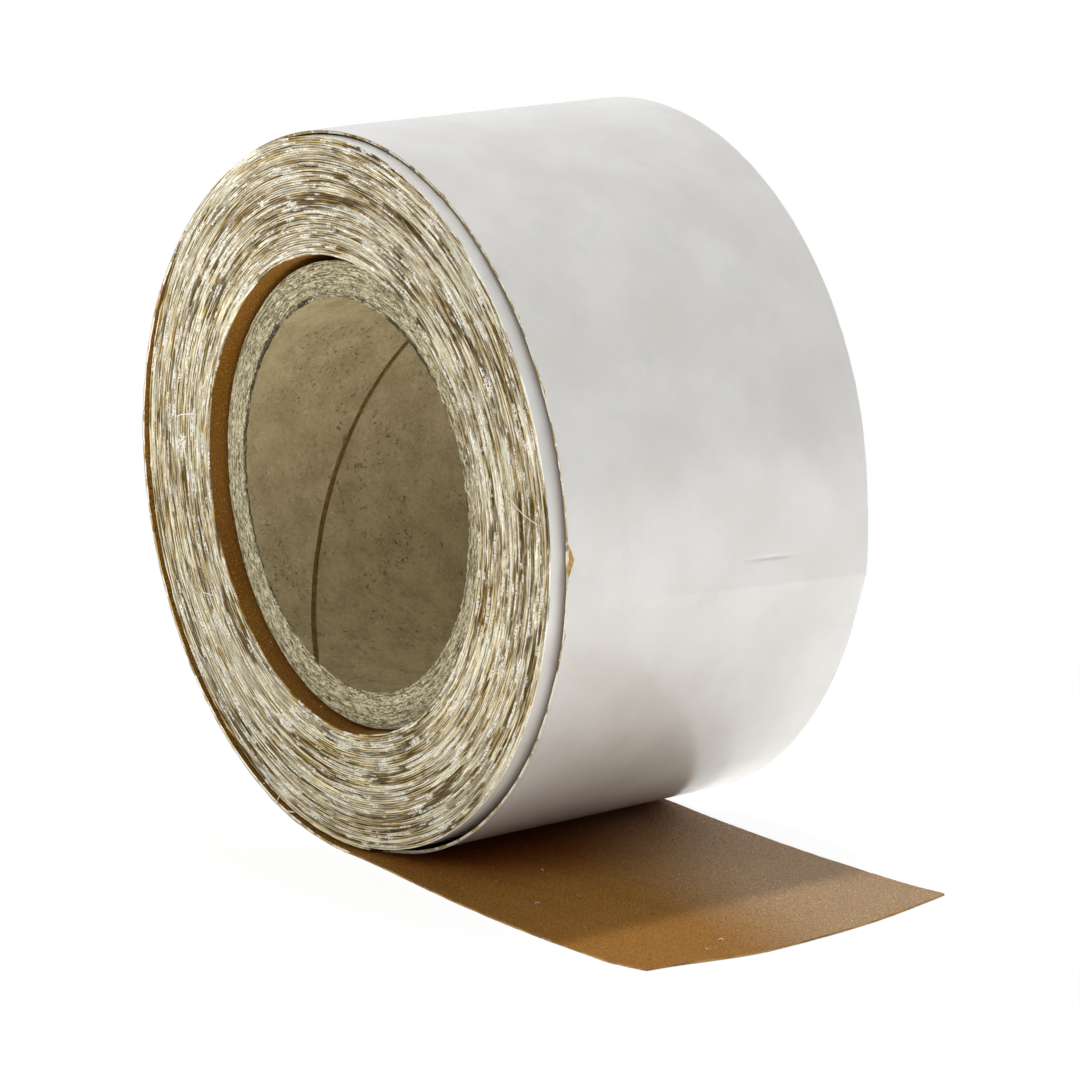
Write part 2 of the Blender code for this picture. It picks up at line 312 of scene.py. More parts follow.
# ---------------------------------------------------------------------------------------------
# materials
# ---------------------------------------------------------------------------------------------
def wound_edge_material():
    """Slit edges of fifty turns: pale paper fibre, golden paper stock, lint smeared across."""
    mat = Shader("wound_edge_fibres")
    place = mat.rest()
    _, radius, angle = mat.polar(place)
    turn_share = mat.math("FRACT", (angle - START) / (2 * math.pi))
    fuzz = mat.noise(place, scale=1.5, rough=0.65) - 0.5
    spiral = (radius - PACK_RADIUS) / PITCH - turn_share
    fuzzy = fuzz.scaled(0.34, plus=spiral)
    whole = mat.math("FLOOR", fuzzy)
    depth = fuzzy - whole                                    # 0..1 through one turn
    turn = whole + turn_share
    joint_count = mat.math("FLOOR", fuzzy + 0.5) + turn_share
    cos, sin = mat.circle(angle)
    # across a multiple of the turn: unrelated turn to turn; of the radius: spans several turns
    streak = partial(mat.around, (cos, sin))

    tone = streak(along=4.4, across=turn * 6.37, offset=2.0, rough=0.65)
    fine_tone = streak(along=10.5, across=turn * 9.71, offset=9.0)
    long_gold = streak(along=2.7, across=turn * 4.13, offset=21.0, detail=2.0, rough=0.5)
    wide = streak(along=2.6, across=radius * 0.42, offset=3.0, detail=2.0, rough=0.5)
    patch = streak(along=5.0, across=radius * 0.95, offset=17.0)
    smear = streak(along=11.0, across=radius * 1.05, offset=57.0, rough=0.65, warp=0.4)
    lint = mat.noise(place, scale=2.6, rough=0.7)

    # sheet: grey-gold to cream, warmer towards the lower left, where painted light also makes it
    # lighter
    painted_light_lower_left = (cos * -0.5 + sin * -0.86).ramp(over=(-0.9, 0.3))
    dark_sheet = mat.mix(painted_light_lower_left, srgb(122, 106, 64), srgb(150, 118, 42))
    pale_sheet = mat.mix(painted_light_lower_left, srgb(224, 214, 180), srgb(238, 224, 168))
    sheet = mat.mix(tone.ramp(over=(0.40, 0.58)), dark_sheet, pale_sheet)

    # lengths of gold stock, more of them to the right and in a patch at the bottom
    gold = mat.mix(fine_tone.ramp(over=(0.38, 0.62)), srgb(100, 70, 2), srgb(170, 132, 14))
    belly = (abs(angle + 1.62).ramp(over=(0.60, 0.12))
             * abs(radius - 56.0).ramp(over=(9.0, 2.5)))
    side = cos.ramp(over=(-0.3, 0.5)) + belly * 1.6
    golden = mat.most(side.scaled(0.034, plus=long_gold).ramp(over=(0.522, 0.548)),
                      patch.ramp(over=(0.49, 0.545)) * wide.ramp(over=(0.38, 0.54)))
    extra_gold = streak(along=2.3, across=radius * 0.85, offset=41.0)
    golden = mat.most(golden, extra_gold.ramp(over=(0.552, 0.590)))
    golden = mat.both(golden, fine_tone.ramp(over=(0.78, 0.62)))
    sheet = mat.mix(golden, sheet, gold)

    # the liner is painted lighter towards the lower left too
    dark_liner = mat.mix(painted_light_lower_left, srgb(208, 200, 174), srgb(226, 214, 176))
    pale_liner = mat.mix(painted_light_lower_left, srgb(253, 249, 234), srgb(254, 249, 224))
    liner = mat.mix(fine_tone.ramp(over=(0.36, 0.58)), dark_liner, pale_liner)
    liner = mat.mix(golden * 0.45, liner, srgb(190, 170, 112))
    is_liner = mat.both(depth.ramp(over=(0.50, 0.62)), depth.ramp(over=(0.99, 0.90)))
    colour = mat.mix(is_liner, sheet, liner)

    # dark open joints between turns, longest where the winding is loose
    is_open = streak(along=2.4, across=joint_count * 5.31, offset=33.0,
                     rough=0.55).ramp(over=(0.48, 0.55))
    gape = is_open * 0.13
    joint = mat.either((depth + gape).ramp(over=(0.84, 0.93)),
                       (depth - gape).ramp(over=(0.17, 0.08)))
    loose = mat.either(
        streak(along=1.3, across=radius * 0.12, detail=2.0, rough=0.5).ramp(over=(0.40, 0.60)),
        sin.ramp(over=(-0.35, -0.85), to=(0.0, 0.35)))
    darkness = is_open.scaled(loose.scaled(0.12, plus=0.76), plus=0.07)
    joint_dark = mat.both(joint, darkness)
    colour = mat.mix(joint_dark, colour, srgb(98, 69, 6))

    # painted highlight: bright ridges where a few turns stand proud, painted more at the top and
    # bottom of the face
    proud = streak(along=3.4, across=radius * 1.25, offset=77.0) + abs(sin) * 0.070
    proud = proud.ramp(over=(0.535, 0.575))
    colour = mat.mix(proud * is_liner.scaled(0.60, plus=0.30), colour, srgb(255, 251, 228))

    # long cracks that wander from joint to joint, with gold beside them
    vein = abs(streak(along=1.7, across=radius * 0.62, offset=91.0, rough=0.55) - 0.5)
    where = streak(along=2.2, across=radius * 0.22, offset=61.0, detail=2.0,
                   rough=0.5).ramp(over=(0.44, 0.56))
    crack = mat.both(vein.ramp(over=(0.044, 0.024)), where.scaled(0.75, plus=0.15))
    short_vein = abs(streak(along=2.4, across=radius * 1.05, offset=131.0, rough=0.55) - 0.5)
    short_crack = mat.both(short_vein.ramp(over=(0.048, 0.024)),
                           loose.scaled(0.40, plus=0.12) * where.ramp(over=(1.0, 0.0)))
    crack = mat.most(crack, short_crack)
    beside = mat.both(vein.ramp(over=(0.105, 0.045)), where.scaled(0.60, plus=0.10))
    colour = mat.mix(beside * tone.ramp(over=(0.62, 0.44)), colour, srgb(146, 114, 20))
    colour = mat.mix(crack * 0.92, colour, srgb(64, 44, 4))
    joint_dark = mat.most(joint_dark, crack)

    # lint pressed over the turns, pale threads, dust
    white = mat.both(smear.ramp(over=(0.50, 0.60)), lint.ramp(over=(0.38, 0.56)))
    white = mat.both(white, joint_dark.scaled(-0.7, plus=1.0))
    white = white * loose.scaled(-0.45, plus=1.0)
    colour = mat.mix(white * 0.52, colour, srgb(250, 243, 218))
    thread = streak(along=8.0, across=turn * 12.3, offset=5.0, detail=2.0, rough=0.5)
    thread = thread.ramp(over=(0.56, 0.60)) * lint.ramp(over=(0.42, 0.50))
    colour = mat.mix(thread * 0.85, colour, srgb(255, 253, 242))
    dust = mat.noise(place, scale=1.9, detail=2.0, shift=(31.0, 7.0, 13.0))
    colour = mat.mix(dust.ramp(over=(0.66, 0.72)) * 0.55, colour, srgb(104, 80, 40))

    height = fine_tone * 0.5 + lint * 0.5 + white * 0.30 - joint_dark * 0.8
    mat.set(Base_Color=colour, Roughness=lint.ramp(over=(0.3, 0.7), to=(0.78, 0.95)),
            Specular_IOR_Level=0.2, Normal=mat.bump(height, distance=0.00025, strength=0.8))
    return mat.material


def liner_material(name, painted_gap_shade=False):
    """Silicone-coated release paper: white, satin, faintly mottled."""
    mat = Shader(name)
    place = mat.rest()
    y, radius, angle = mat.polar(place)
    arc = angle * 69.5                                       # length round the pack
    flat = mat.join(arc, y, 0.0)
    cloud = mat.noise(place, scale=0.06, rough=0.5)
    fibre = mat.noise(mat.join(arc * 0.85, y * 1.3, radius), detail=2.0, rough=0.5)
    colour = mat.mix(cloud.ramp(over=(0.32, 0.68)), srgb(221, 219, 214), srgb(230, 229, 226))
    colour = mat.mix(fibre.ramp(over=(0.20, 0.80)) * 0.12, colour, srgb(214, 211, 204))
    # shapeless grey ghosts where printing on the sheet side shows through
    ghost = mat.noise(flat, scale=0.16, detail=2.0, rough=0.5, shift=(11.0, 3.0, 0.0))
    ghost = mat.both(ghost.ramp(over=(0.53, 0.62)),
                     mat.cells(flat, scale=0.11).ramp(over=(0.55, 0.25)))
    colour = mat.mix(ghost * 0.12, colour, srgb(190, 196, 203))
    if painted_gap_shade:
        # painted shade: behind the slack turn the pack's outer liner is painted darker away from its
        # front edge, where the gap's shadow falls
        grey = y.ramp(over=(FRONT + 0.4, FRONT + 4.6), to=(0.0, 0.62))
        colour = mat.mix(grey, colour, srgb(112, 97, 78))
    wave = (mat.noise(place, scale=0.030, detail=2.0, rough=0.5) * 1.0
            + mat.noise(place, scale=0.13, detail=2.0, rough=0.5) * 0.12)
    waved = mat.bump(wave, distance=0.0030, strength=0.30)
    mat.set(Base_Color=colour, Roughness=fibre.ramp(over=(0.25, 0.75), to=(0.24, 0.27)),
            Specular_IOR_Level=0.5, Coat_Weight=0.40, Coat_Roughness=0.15,
            Normal=mat.bump(fibre, distance=0.00003, strength=0.07, after=waved))
    return mat.material


def abrasive_material(name, wound=False):
    """Fine mineral grit in brown resin on paper; plainer where it is wound in the pack."""
    mat = Shader(name)
    place = mat.rest()
    x, y, z = mat.split(place)
    grit = mat.noise(place, scale=2.3, rough=0.75)
    grain = mat.cells(place, scale=2.6)
    cloud = mat.noise(place, scale=0.05, rough=0.55)
    patch = mat.noise(place, scale=0.16, shift=(50.0, 20.0, 0.0))
    streak = mat.noise(mat.join(x * 0.04, y * 0.30, z * 0.05), rough=0.5)
    if wound:
        colour = mat.mix(grit.ramp(over=(0.30, 0.70)), srgb(114, 73, 17), srgb(140, 93, 27))
    else:
        colour = mat.mix(grit.ramp(over=(0.36, 0.64)), srgb(96, 60, 12), srgb(178, 130, 52))
    colour = mat.mix(cloud.ramp(over=(0.35, 0.68)) * 0.40, colour, srgb(148, 106, 50))
    colour = mat.mix(streak.ramp(over=(0.45, 0.68)) * 0.30, colour, srgb(116, 72, 20))
    colour = mat.mix(patch.ramp(over=(0.56, 0.70)) * 0.35, colour, srgb(142, 92, 34))
    sparkle_share, dark_share, specular = 0.25, 0.25, 0.12
    if not wound:
        # lighter, warmer orange-brown along the front side towards the end
        warm = mat.both(x.ramp(over=(34.0, 92.0)), y.ramp(over=(6.0, -38.0)))
        colour = mat.mix(warm * 0.50, colour, srgb(170, 112, 40))
        # painted sheen: paler, greyer along the back side, a grazing sheen put into the grit's colour
        pale = mat.both((y + x * 0.25).ramp(over=(-4.0, 24.0)), x.ramp(over=(0.0, 22.0)))
        colour = mat.mix(pale * 0.60, colour, srgb(176, 143, 103))
        # painted shadow of the roll: dark red-brown close to the roll
        roll_shadow_reach = x.ramp(over=(-2.0, 16.0)) * y.ramp(over=(-40.0, -20.0), to=(0.30, 1.0))
        painted_roll_shadow = x.ramp(over=(56.0, 10.0)) * roll_shadow_reach * pale.scaled(-0.55, plus=0.92)
        colour = mat.mix(painted_roll_shadow, colour, srgb(132, 54, 2))
        sparkle_share = pale.scaled(0.55, plus=0.25)
        dark_share = 0.7
        specular = pale.scaled(0.32, plus=0.06)
    sparkle = mat.noise(place, scale=2.9, detail=1.0, rough=0.5,
                        shift=(5.0, 9.0, 2.0)).ramp(over=(0.60, 0.68))
    colour = mat.mix(sparkle * sparkle_share, colour, srgb(224, 192, 142))
    dark = mat.noise(place, scale=2.3, detail=1.0, rough=0.5, shift=(15.0, 1.0, 22.0))
    colour = mat.mix(dark.ramp(over=(0.61, 0.69)) * dark_share, colour, srgb(54, 32, 8))
    lint = mat.noise(place, scale=0.80, detail=1.0, rough=0.5, shift=(3.0, 71.0, 8.0))
    colour = mat.mix(lint.ramp(over=(0.80, 0.82)), colour, srgb(238, 232, 222))
    height = grit * 0.6 + grain * -0.5
    mat.set(Base_Color=colour,
            Roughness=grit.ramp(over=(0.3, 0.7), to=(0.46, 0.66)) - sparkle * 0.2,
            Specular_IOR_Level=specular,
            Normal=mat.bump(height, distance=0.00022, strength=0.75))
    return mat.material


def sheet_stock_material(name, pale):
    """The slit edge of the abrasive paper: golden paper, frayed to white in lengths."""
    mat = Shader(name)
    place = mat.rest()
    broad = mat.noise(place, scale=0.16)
    fine = mat.noise(place, scale=1.1, rough=0.65)
    if pale:
        soiled = mat.noise(place, scale=0.22, shift=(17.0, 5.0, 3.0))
        colour = mat.mix(broad.ramp(over=(0.44, 0.54)), srgb(178, 152, 88), srgb(232, 224, 200))
        colour = mat.mix(soiled.ramp(over=(0.54, 0.60)) * 0.80, colour, srgb(104, 84, 44))
        colour = mat.mix(fine.ramp(over=(0.58, 0.66)), colour, srgb(246, 242, 230))
    else:
        colour = mat.mix(broad.ramp(over=(0.40, 0.60)), srgb(136, 96, 40), srgb(178, 138, 74))
        colour = mat.mix(fine.ramp(over=(0.66, 0.74)), colour, srgb(228, 214, 184))
    mat.set(Base_Color=colour, Roughness=fine.ramp(over=(0.3, 0.7), to=(0.7, 0.92)),
            Specular_IOR_Level=0.3, Normal=mat.bump(fine, distance=0.0001, strength=0.6))
    return mat.material


def board_end_material():
    """Torn fibre on the cut ends of the grey-olive recycled board."""
    mat = Shader("core_board_end")
    place = mat.rest()
    _, radius, angle = mat.polar(place)
    circle = mat.circle(angle)
    layer = mat.around(circle, along=11.0, across=radius * 2.5, rough=0.65, warp=0.3)
    fibre = mat.around(circle, along=36.0, across=radius * 3.6, offset=8.0, rough=0.7, warp=0.5)
    blot = mat.noise(place, scale=0.42)
    colour = mat.mix(layer.ramp(over=(0.38, 0.60)), srgb(116, 105, 74), srgb(186, 177, 144))
    colour = mat.mix(fibre.ramp(over=(0.54, 0.63)) * 0.85, colour, srgb(228, 220, 192))
    colour = mat.mix(fibre.ramp(over=(0.455, 0.37)) * 0.85, colour, srgb(62, 52, 30))
    colour = mat.mix(blot.ramp(over=(0.56, 0.68)) * 0.35, colour, srgb(98, 88, 60))
    # darker rim next to the bore: torn dark fibre in patches, and painted shade strongest on the left
    rim = (radius + mat.noise(place, scale=0.9) * 1.6).ramp(over=(39.75, 39.2))
    rim = mat.either(rim, 0.0)
    torn = mat.noise(place, scale=0.16, rough=0.65, shift=(44.0, 3.0, 8.0))
    # painted shade along the left of the rim
    left = circle[0].ramp(over=(-0.35, -0.75))
    torn = mat.most(torn.ramp(over=(0.42, 0.58)),
                    left * mat.noise(place, scale=0.5).ramp(over=(0.36, 0.50)))
    colour = mat.mix(rim * torn.scaled(0.75, plus=0.18), colour, srgb(44, 37, 22))
    fleck = mat.noise(place, scale=1.9, detail=2.0, rough=0.5, shift=(9.0, 4.0, 1.0))
    colour = mat.mix(fleck.ramp(over=(0.67, 0.72)), colour, srgb(56, 48, 32))
    white = mat.noise(place, scale=2.3, detail=2.0, rough=0.5, shift=(2.0, 14.0, 6.0))
    colour = mat.mix(white.ramp(over=(0.69, 0.73)) * 0.8, colour, srgb(222, 216, 198))
    height = fibre * 0.8 + layer * 0.5
    mat.set(Base_Color=colour, Roughness=0.95, Specular_IOR_Level=0.15,
            Normal=mat.bump(height, distance=0.0005, strength=0.8))
    return mat.material


def board_ply_material():
    """Mottled smooth ply of the board."""
    mat = Shader("core_board_ply")
    place = mat.rest()
    y, radius, angle = mat.polar(place)
    arc = angle * 40.0                                       # length round the core
    cloud = mat.noise(place, scale=0.16)
    fibre = mat.noise(mat.join((arc + y) * 0.7, (arc - y) * 1.8, radius), rough=0.65)
    speck = mat.noise(place, scale=1.5, rough=0.65)
    colour = mat.mix(cloud.ramp(over=(0.34, 0.66)), srgb(153, 137, 99), srgb(174, 159, 120))
    colour = mat.mix(fibre.ramp(over=(0.42, 0.66)) * 0.35, colour, srgb(182, 170, 138))
    fine = mat.noise(place, scale=1.3, rough=0.75, shift=(36.0, 2.0, 19.0))
    colour = mat.mix(fine.ramp(over=(0.50, 0.68)) * 0.35, colour, srgb(118, 103, 70))
    # dots and stains, crowded in places
    many = mat.noise(place, scale=0.075, detail=2.0, rough=0.5,
                     shift=(7.0, 5.0, 63.0)).ramp(over=(0.40, 0.60))
    dots = mat.noise(place, scale=0.85, detail=4.0, rough=0.72, warp=0.6,
                     shift=(6.0, 2.0, 9.0)).ramp(over=(0.585, 0.645))
    colour = mat.mix(dots * many.scaled(0.60, plus=0.22), colour, srgb(72, 60, 36))
    stain = mat.noise(place, scale=0.42, rough=0.7, warp=0.6,
                      shift=(26.0, 12.0, 9.0)).ramp(over=(0.59, 0.68))
    colour = mat.mix(stain * many.scaled(0.35, plus=0.15), colour, srgb(92, 78, 50))
    pale = mat.noise(place, scale=1.7, detail=2.0, rough=0.5, shift=(1.0, 52.0, 3.0))
    colour = mat.mix(pale.ramp(over=(0.66, 0.72)) * 0.6, colour, srgb(208, 198, 170))
    height = fibre * 0.5 + speck * 0.7
    mat.set(Base_Color=colour, Roughness=speck.ramp(over=(0.3, 0.7), to=(0.74, 0.92)),
            Specular_IOR_Level=0.25, Normal=mat.bump(height, distance=0.00018, strength=0.5))
    return mat.material


def mottled_material(name, mottle, dark, light, over, roughness, specular, distance, strength,
                     fine=None):
    """Two tones mixed by one noise; `fine`, or the same noise, gives roughness and relief."""
    mat = Shader(name)
    place = mat.rest()
    tone = mat.noise(place, **mottle)
    grain = mat.noise(place, **fine) if fine else tone
    mat.set(Base_Color=mat.mix(tone.ramp(over=over), dark, light),
            Roughness=grain.ramp(over=(0.3, 0.7), to=roughness),
            Specular_IOR_Level=specular, Normal=mat.bump(grain, distance, strength))
    return mat.material


def backdrop_material():
    """White studio floor that fades into the white surround, so there is no horizon."""
    mat = Shader("studio_floor")
    place = Value(mat, mat.node("ShaderNodeTexCoord").outputs["Object"])
    cloud = mat.noise(place, scale=3.0, rough=0.5)
    mat.set(Base_Color=mat.mix(cloud, (0.90, 0.90, 0.90, 1), (0.92, 0.92, 0.92, 1)),
            Roughness=0.8, Specular_IOR_Level=0.15)
    x, y, _ = mat.split(place)
    distance = mat.math("SQRT", x * x + y * y)
    seen = Value(mat, mat.node("ShaderNodeLightPath").outputs["Is Camera Ray"])
    fade = distance.ramp(over=(0.05, 0.18), to=(0.72, 1.0)) * seen
    # glow that lights the roll, stronger to the right and in front
    sides = x.ramp(over=(0.0, 0.16)) * 0.06 + y.ramp(over=(-0.035, -0.12)) * 0.65
    unseen_glow = (1.0 - seen) * (sides + 0.50)
    mat.set(Emission_Color=(1, 1, 1, 1), Emission_Strength=seen.scaled(0.48, plus=unseen_glow))
    white = mat.node("ShaderNodeEmission")
    white.inputs["Strength"].default_value = 1.0
    blend = mat.fill(mat.node("ShaderNodeMixShader"), fade, mat.surface,
                     Value(mat, white.outputs[0]))
    mat.put(mat.output.inputs[0], blend)
    return mat.material


EDGE = wound_edge_material()
LINER = liner_material("release_liner_paper")
LINER_GAP_SHADE_PAINTED = liner_material("release_liner_paper_gap_shade_painted", painted_gap_shade=True)
GRIT = abrasive_material("abrasive_grit")
GRIT_WOUND = abrasive_material("abrasive_grit_wound", wound=True)
STOCK = sheet_stock_material("sheet_stock_edge", pale=True)
STOCK_TAIL = sheet_stock_material("sheet_stock_edge_tail", pale=False)
GLUE = mottled_material(
    "adhesive_honey", mottle=dict(scale=0.7), fine=dict(scale=3.0, detail=2.0),
    dark=srgb(168, 122, 30), light=srgb(206, 168, 84), over=(0.36, 0.64),
    roughness=(0.22, 0.42), specular=0.5, distance=0.00008, strength=0.5)
BOARD = board_ply_material()
BOARD_END = board_end_material()
# dark glue on the outside of the second ply, where the spiral joint leaves it bare
SEAM = mottled_material(
    "core_seam_glue", mottle=dict(scale=1.2), dark=srgb(120, 98, 56), light=srgb(150, 126, 76),
    over=(0.36, 0.64), roughness=(0.6, 0.85), specular=0.3, distance=0.0001, strength=0.5)
LINT = mottled_material(
    "paper_lint", mottle=dict(scale=1.5, detail=2.0), dark=srgb(226, 220, 204),
    light=srgb(248, 247, 243), over=(0.4, 0.6), roughness=(0.8, 0.95), specular=0.2,
    distance=0.00005, strength=0.4)


# ---------------------------------------------------------------------------------------------
# mesh writing
# ---------------------------------------------------------------------------------------------
def link(name, data):
    ob = bpy.data.objects.new(name, data)
    bpy.context.scene.collection.objects.link(ob)
    return ob


def make_mesh(name, points, quads, materials, material_index, region):
    """A closed mesh from millimetre points; edges between regions are sharp, the rest smooth."""
    mesh = bpy.data.meshes.new(name)
    points = np.ascontiguousarray(np.asarray(points, float) * MM, np.float32)
    quads = np.ascontiguousarray(quads, np.int32)
    mesh.vertices.add(len(points))
    mesh.vertices.foreach_set("co", points.ravel())
    mesh.loops.add(quads.size)
    mesh.loops.foreach_set("vertex_index", quads.ravel())
    mesh.polygons.add(len(quads))
    mesh.polygons.foreach_set("loop_start", np.arange(0, quads.size, 4, dtype=np.int32))
    mesh.update(calc_edges=True)
    for material in materials:
        mesh.materials.append(material)
    mesh.polygons.foreach_set("material_index", np.ascontiguousarray(material_index, np.int32))
    mesh.polygons.foreach_set("use_smooth", np.ones(len(quads), bool))

    # an edge is sharp when the lowest and highest region around it differ
    loop_edges = np.zeros(quads.size, np.int32)
    mesh.loops.foreach_get("edge_index", loop_edges)
    loop_regions = np.repeat(np.asarray(region, np.int32), 4)
    lowest = np.full(len(mesh.edges), 10**6, np.int32)
    highest = np.full(len(mesh.edges), -1, np.int32)
    np.minimum.at(lowest, loop_edges, loop_regions)
    np.maximum.at(highest, loop_edges, loop_regions)
    sharp = mesh.attributes.new("sharp_edge", "BOOLEAN", "EDGE")
    sharp.data.foreach_set("value", lowest != highest)
    rest = mesh.attributes.new("rest", "FLOAT_VECTOR", "POINT")
    rest.data.foreach_set("vector", points.ravel())
    mesh.update()
    return link(name, mesh)


def grid_quads(grid):
    corners = grid[:-1, :-1], grid[1:, :-1], grid[1:, 1:], grid[:-1, 1:]
    return np.stack(corners, -1).reshape(-1, 4)


class Patches:
    """Patches of quads, each with one material index and one region."""

    def __init__(self):
        self.quads, self.material, self.region = [], [], []

    def add(self, quads, material, region):
        self.quads.append(quads)
        self.material.append(np.full(len(quads), material))
        self.region.append(np.full(len(quads), region))

    def joined(self):
        return [np.concatenate(part) for part in (self.quads, self.material, self.region)]


def lattice(name, points, materials, side_materials, wrap=False):
    """The skin of a block of points[u, v, w]. side_materials gives the material index of the
    u0, u1, v0, v1, w0, w1 sides. wrap joins the last u back to the first."""
    ids = np.arange(points[..., 0].size).reshape(points.shape[:3])
    ring = np.concatenate([ids, ids[:1]], 0) if wrap else ids
    sides = [(2, ring[:, 0, :], False), (3, ring[:, -1, :], True),
             (4, ring[:, :, 0], True), (5, ring[:, :, -1], False)]
    if not wrap:
        sides = [(0, ids[0], True), (1, ids[-1], False)] + sides
    patches = Patches()
    for side, grid, flip in sides:
        quads = grid_quads(grid)
        patches.add(quads[:, ::-1] if flip else quads, side_materials[side], side)
    quads, material, region = patches.joined()
    used, inverse = np.unique(quads, return_inverse=True)
    quads = inverse.reshape(-1, 4)
    used_points = points.reshape(-1, 3)[used]
    # the sign of the volume decides which way the whole skin faces
    a, b, c, d = np.moveaxis(used_points[quads], 1, 0)
    volume = (np.einsum("ij,ij->i", a, np.cross(b, c)).sum()
              + np.einsum("ij,ij->i", a, np.cross(c, d)).sum())
    if volume < 0:
        quads = quads[:, ::-1]
    return make_mesh(name, used_points, quads, materials, material, region)


def round_axis(radius, angle, y, dx=0.0, dz=0.0):
    """Points at a radius and angle about the roll's axis, or about one moved by dx, dz."""
    x = dx + radius * np.cos(angle)
    return np.stack([x, y, AXIS_Z + dz + radius * np.sin(angle)], -1)


def attach(ob, body, node):
    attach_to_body(ob, body)
    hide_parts(node)


# ---------------------------------------------------------------------------------------------
# the wound pack
# ---------------------------------------------------------------------------------------------
# lines across one turn's cut edge: place in the turn, stand-off, noises (size, knots, seed)
EDGE_LINES = (
    (0.0, -0.24, ((0.05, 97.0, 14),)),                            # inner face
    (0.28, 0.02, ((0.07, 160.0, 15), (0.05, 55.0, 16))),          # sheet
    (0.60, -0.06, ((0.04, 150.0, 17),)),                          # glue line
    (0.76, 0.03, ((0.09, 120.0, 19),)),                           # liner
    (1.0 - BAND_GAP / PITCH, -0.14, ((0.05, 140.0, 20),)),        # outer face
)
LINER_LINE = 3
EDGE_WANDER = ((0.13, 2.7, 11), (0.08, 8.3, 12), (0.05, 31.0, 13))
PACK_STEPS = 600                       # round one turn


def band_radius(index):
    return PACK_RADIUS + index * TURNS_PER_BAND * PITCH


def band_body(index):
    return "roll" if index == BANDS - 1 else "band_%02d" % (index + 1)


def edge_relief(line, turn, end):
    """How far a line of the cut edge stands proud of the end face; end 0 is front, 1 back."""
    _, stand_off, noises = EDGE_LINES[line]
    shift = 100 * end
    relief = noise_sum(turn, EDGE_WANDER, shift) + stand_off + noise_sum(turn, noises, shift)
    if line == LINER_LINE:
        relief = relief + np.maximum(0.0, noise_line(turn * 210.0, 18 + shift) - 0.35) * 0.30
    return relief


def winding(index):
    """Five turns of the strip: two end faces in relief, and the spiral step inside and out."""
    name = "winding_%02d" % (index + 1)
    per_turn = len(EDGE_LINES)
    lines = [(turn, line) for turn in range(TURNS_PER_BAND) for line in range(per_turn)]

    def spiral(share, turn, line, end):
        """One line of an end face, at shares of a turn from the start."""
        offset = turn + EDGE_LINES[line][0]
        radius = band_radius(index) + PITCH * (offset + share)
        relief = edge_relief(line, index * TURNS_PER_BAND + turn + share, end)
        y = FRONT - relief if end == 0 else BACK + relief
        return round_axis(radius, START + 2 * math.pi * share, y)

    shares = np.arange(PACK_STEPS) / PACK_STEPS
    blocks, grids = [], []
    count = 0
    for end in (0, 1):
        face = np.stack([spiral(shares, *line, end) for line in lines], 1)
        closing = np.stack([spiral(np.array([1.0]), *line, end)[0] for line in lines[-per_turn:]])
        ids = count + np.arange(PACK_STEPS * len(lines)).reshape(PACK_STEPS, len(lines))
        closing_ids = count + ids.size + np.arange(per_turn)
        # after a full turn each line meets the line one turn further out
        last = np.concatenate([ids[0, per_turn:], closing_ids])
        grids.append(np.concatenate([ids, last[None]], 0))
        blocks += [face.reshape(-1, 3), closing]
        count += ids.size + per_turn
    points = np.concatenate(blocks).tolist()
    front, back = grids
    wall_ids = {}

    def behind(rim, y):
        """Wall points at y straight behind front rim points, each made once."""
        for point in rim:
            if (point, y) not in wall_ids:
                wall_ids[point, y] = len(points)
                points.append([points[point][0], y, points[point][2]])
        return np.array([wall_ids[point, y] for point in rim])

    patches = Patches()

    def add(grid, material, region, flip):
        quads = grid_quads(grid)
        order = [1, 2, 3, 0] if flip else [3, 2, 1, 0]
        patches.add(quads[:, order], material, region)

    def side_wall(front_rim, back_rim, material, region, flip):
        rows = [front_rim, behind(front_rim, FRONT + 1.0), behind(front_rim, BACK - 1.0), back_rim]
        for near, far in zip(rows, rows[1:]):
            add(np.stack([near, far], 1), material, region, flip)

    add(front, 0, 0, flip=False)
    add(back, 0, 1, flip=True)
    first, last = slice(0, per_turn + 1), slice(-per_turn - 1, None)
    side_wall(front[:, 0], back[:, 0], 2, 2, flip=True)                  # inner cylinder
    side_wall(front[:, -1], back[:, -1], 1, 3, flip=False)               # outer cylinder
    side_wall(front[0, first], back[0, first], 3, 4, flip=False)         # inner step
    side_wall(front[-1, last], back[-1, last], 3, 5, flip=True)          # outer step
    # the outermost band's outer liner carries the painted gap shade
    outside = LINER_GAP_SHADE_PAINTED if index == BANDS - 1 else LINER
    ob = make_mesh(name + "_skin", points, patches.joined()[0],
                   [EDGE, outside, GRIT_WOUND, STOCK], *patches.joined()[1:])
    attach(ob, band_body(index), name)


for band in range(BANDS):
    winding(band)


# ---------------------------------------------------------------------------------------------
# the core
# ---------------------------------------------------------------------------------------------
BORE_RADIUS = 38.05
PLY_THICKNESS = (0.60, 1.90, 1.90, 1.90, 0.60)            # from the bore outwards
PLY_GAP = 0.04
CORE_DX, CORE_DZ = 0.25, -0.42                            # off centre in the pack's bore
SEAM_LEAD, SEAM_GAP, SEAM_DEG = 121.5, 1.1, -115.4        # open helical joint of the lining
NEAR_ZERO = 1e-6
CORE_MATERIALS = [BOARD, BOARD_END]


def board_relief(radius, angle, end, rough):
    """Torn fibre on a cut end of the core; end 0 is front, 1 back."""
    x, z = radius * np.cos(angle), radius * np.sin(angle)
    shift = 40 * end
    return rough * (0.55 * noise_plane(x / 2.3, z / 2.3, 201 + shift)
                    + 0.35 * noise_plane(x / 0.9, z / 0.9, 202 + shift)
                    + 0.30 * noise_plane(x / 0.45, z / 0.45, 203 + shift)
                    + 0.35 * noise_plane(angle * 14, radius * 2.0, 204 + shift))


